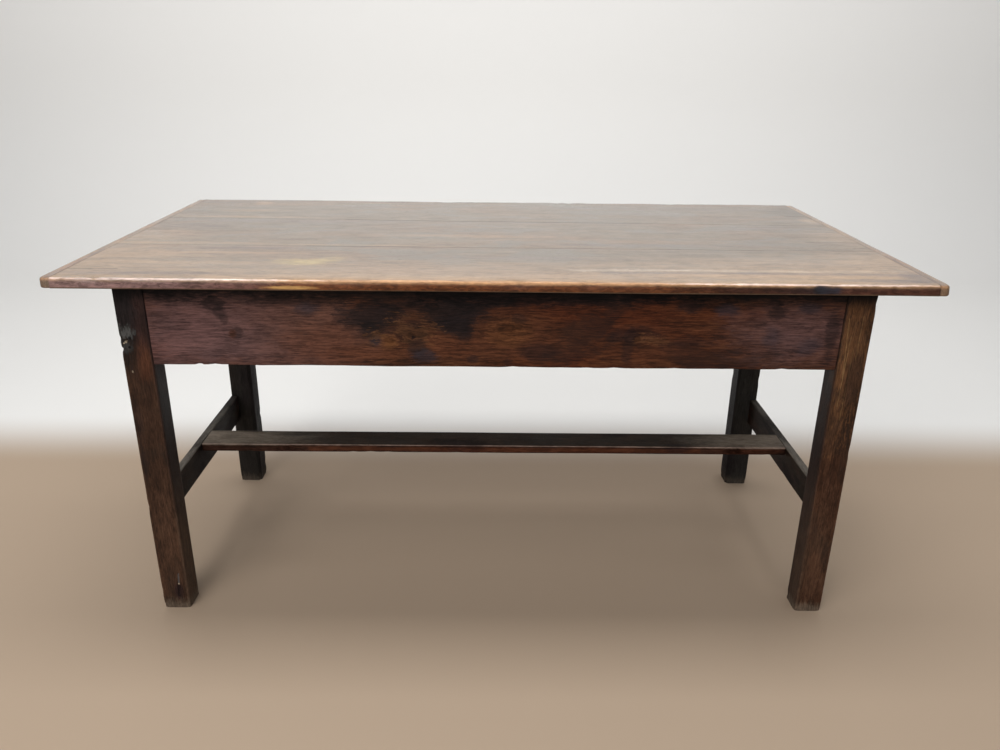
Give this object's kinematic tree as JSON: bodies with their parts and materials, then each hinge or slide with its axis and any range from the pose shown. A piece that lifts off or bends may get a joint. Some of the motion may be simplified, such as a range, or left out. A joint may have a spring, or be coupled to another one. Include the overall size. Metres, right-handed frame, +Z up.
{
  "type": "kitchen table",
  "caption": "Country kitchen table: a boarded top with end cleats on square legs, deep aprons and H stretchers, joined with pegged mortises and tenons.",
  "frame": {"origin": "on the floor, under the middle of the top", "axes": "+X along the table's length to the right seen from the front, +Z up, -Y to the front"},
  "size_m": [1.62, 0.85, 0.78],
  "materials": {
    "top": "waxed oak, worn satin, taupe to warm tan",
    "cleat": "waxed oak, worn round",
    "leg": "dark stained oak, satin",
    "apron": "dark red-brown stained oak, satin",
    "rail": "dark stained oak, satin",
    "peg": "dark stained oak pegs",
    "bare_wood": "unfinished oak, dry and dusty",
    "steel": "dull old steel"
  },
  "bodies": {
    "root": {"apron_back": "apron", "apron_front": "apron", "apron_left": "apron", "apron_right": "apron", "bearer_left": "bare_wood", "bearer_right": "bare_wood", "bearer_screw_back_left": "steel", "bearer_screw_back_right": "steel", "bearer_screw_front_left": "steel", "bearer_screw_front_right": "steel", "bearer_screw_middle_left": "steel", "bearer_screw_middle_right": "steel", "centre_stretcher": "rail", "cleat_nail_back_left": "steel", "cleat_nail_back_right": "steel", "cleat_nail_front_left": "steel", "cleat_nail_front_right": "steel", "cleat_nail_middle_left": "steel", "cleat_nail_middle_right": "steel", "end_cleat_left": "cleat", "end_cleat_right": "cleat", "end_stretcher_left": "rail", "end_stretcher_right": "rail", "glue_block_back_left": "bare_wood", "glue_block_back_right": "bare_wood", "glue_block_front_left": "bare_wood", "glue_block_front_right": "bare_wood", "glue_block_left": "bare_wood", "glue_block_right": "bare_wood", "leg_back_left": "leg", "leg_back_right": "leg", "leg_front_left": "leg", "leg_front_right": "leg", "peg_apron_back_left_high": "peg", "peg_apron_back_left_low": "peg", "peg_apron_back_right_high": "peg", "peg_apron_back_right_low": "peg", "peg_apron_front_left_high": "peg", "peg_apron_front_left_low": "peg", "peg_apron_front_right_high": "peg", "peg_apron_front_right_low": "peg", "peg_centre_left": "peg", "peg_centre_right": "peg", "peg_end_apron_back_left_high": "peg", "peg_end_apron_back_left_low": "peg", "peg_end_apron_back_right_high": "peg", "peg_end_apron_back_right_low": "peg", "peg_end_apron_front_left_high": "peg", "peg_end_apron_front_left_low": "peg", "peg_end_apron_front_right_high": "peg", "peg_end_apron_front_right_low": "peg", "peg_stretcher_back_left": "peg", "peg_stretcher_back_right": "peg", "peg_stretcher_front_left": "peg", "peg_stretcher_front_right": "peg", "top_board_back": "top", "top_board_front": "top", "top_board_middle": "top"}
  },
  "joints": []
}
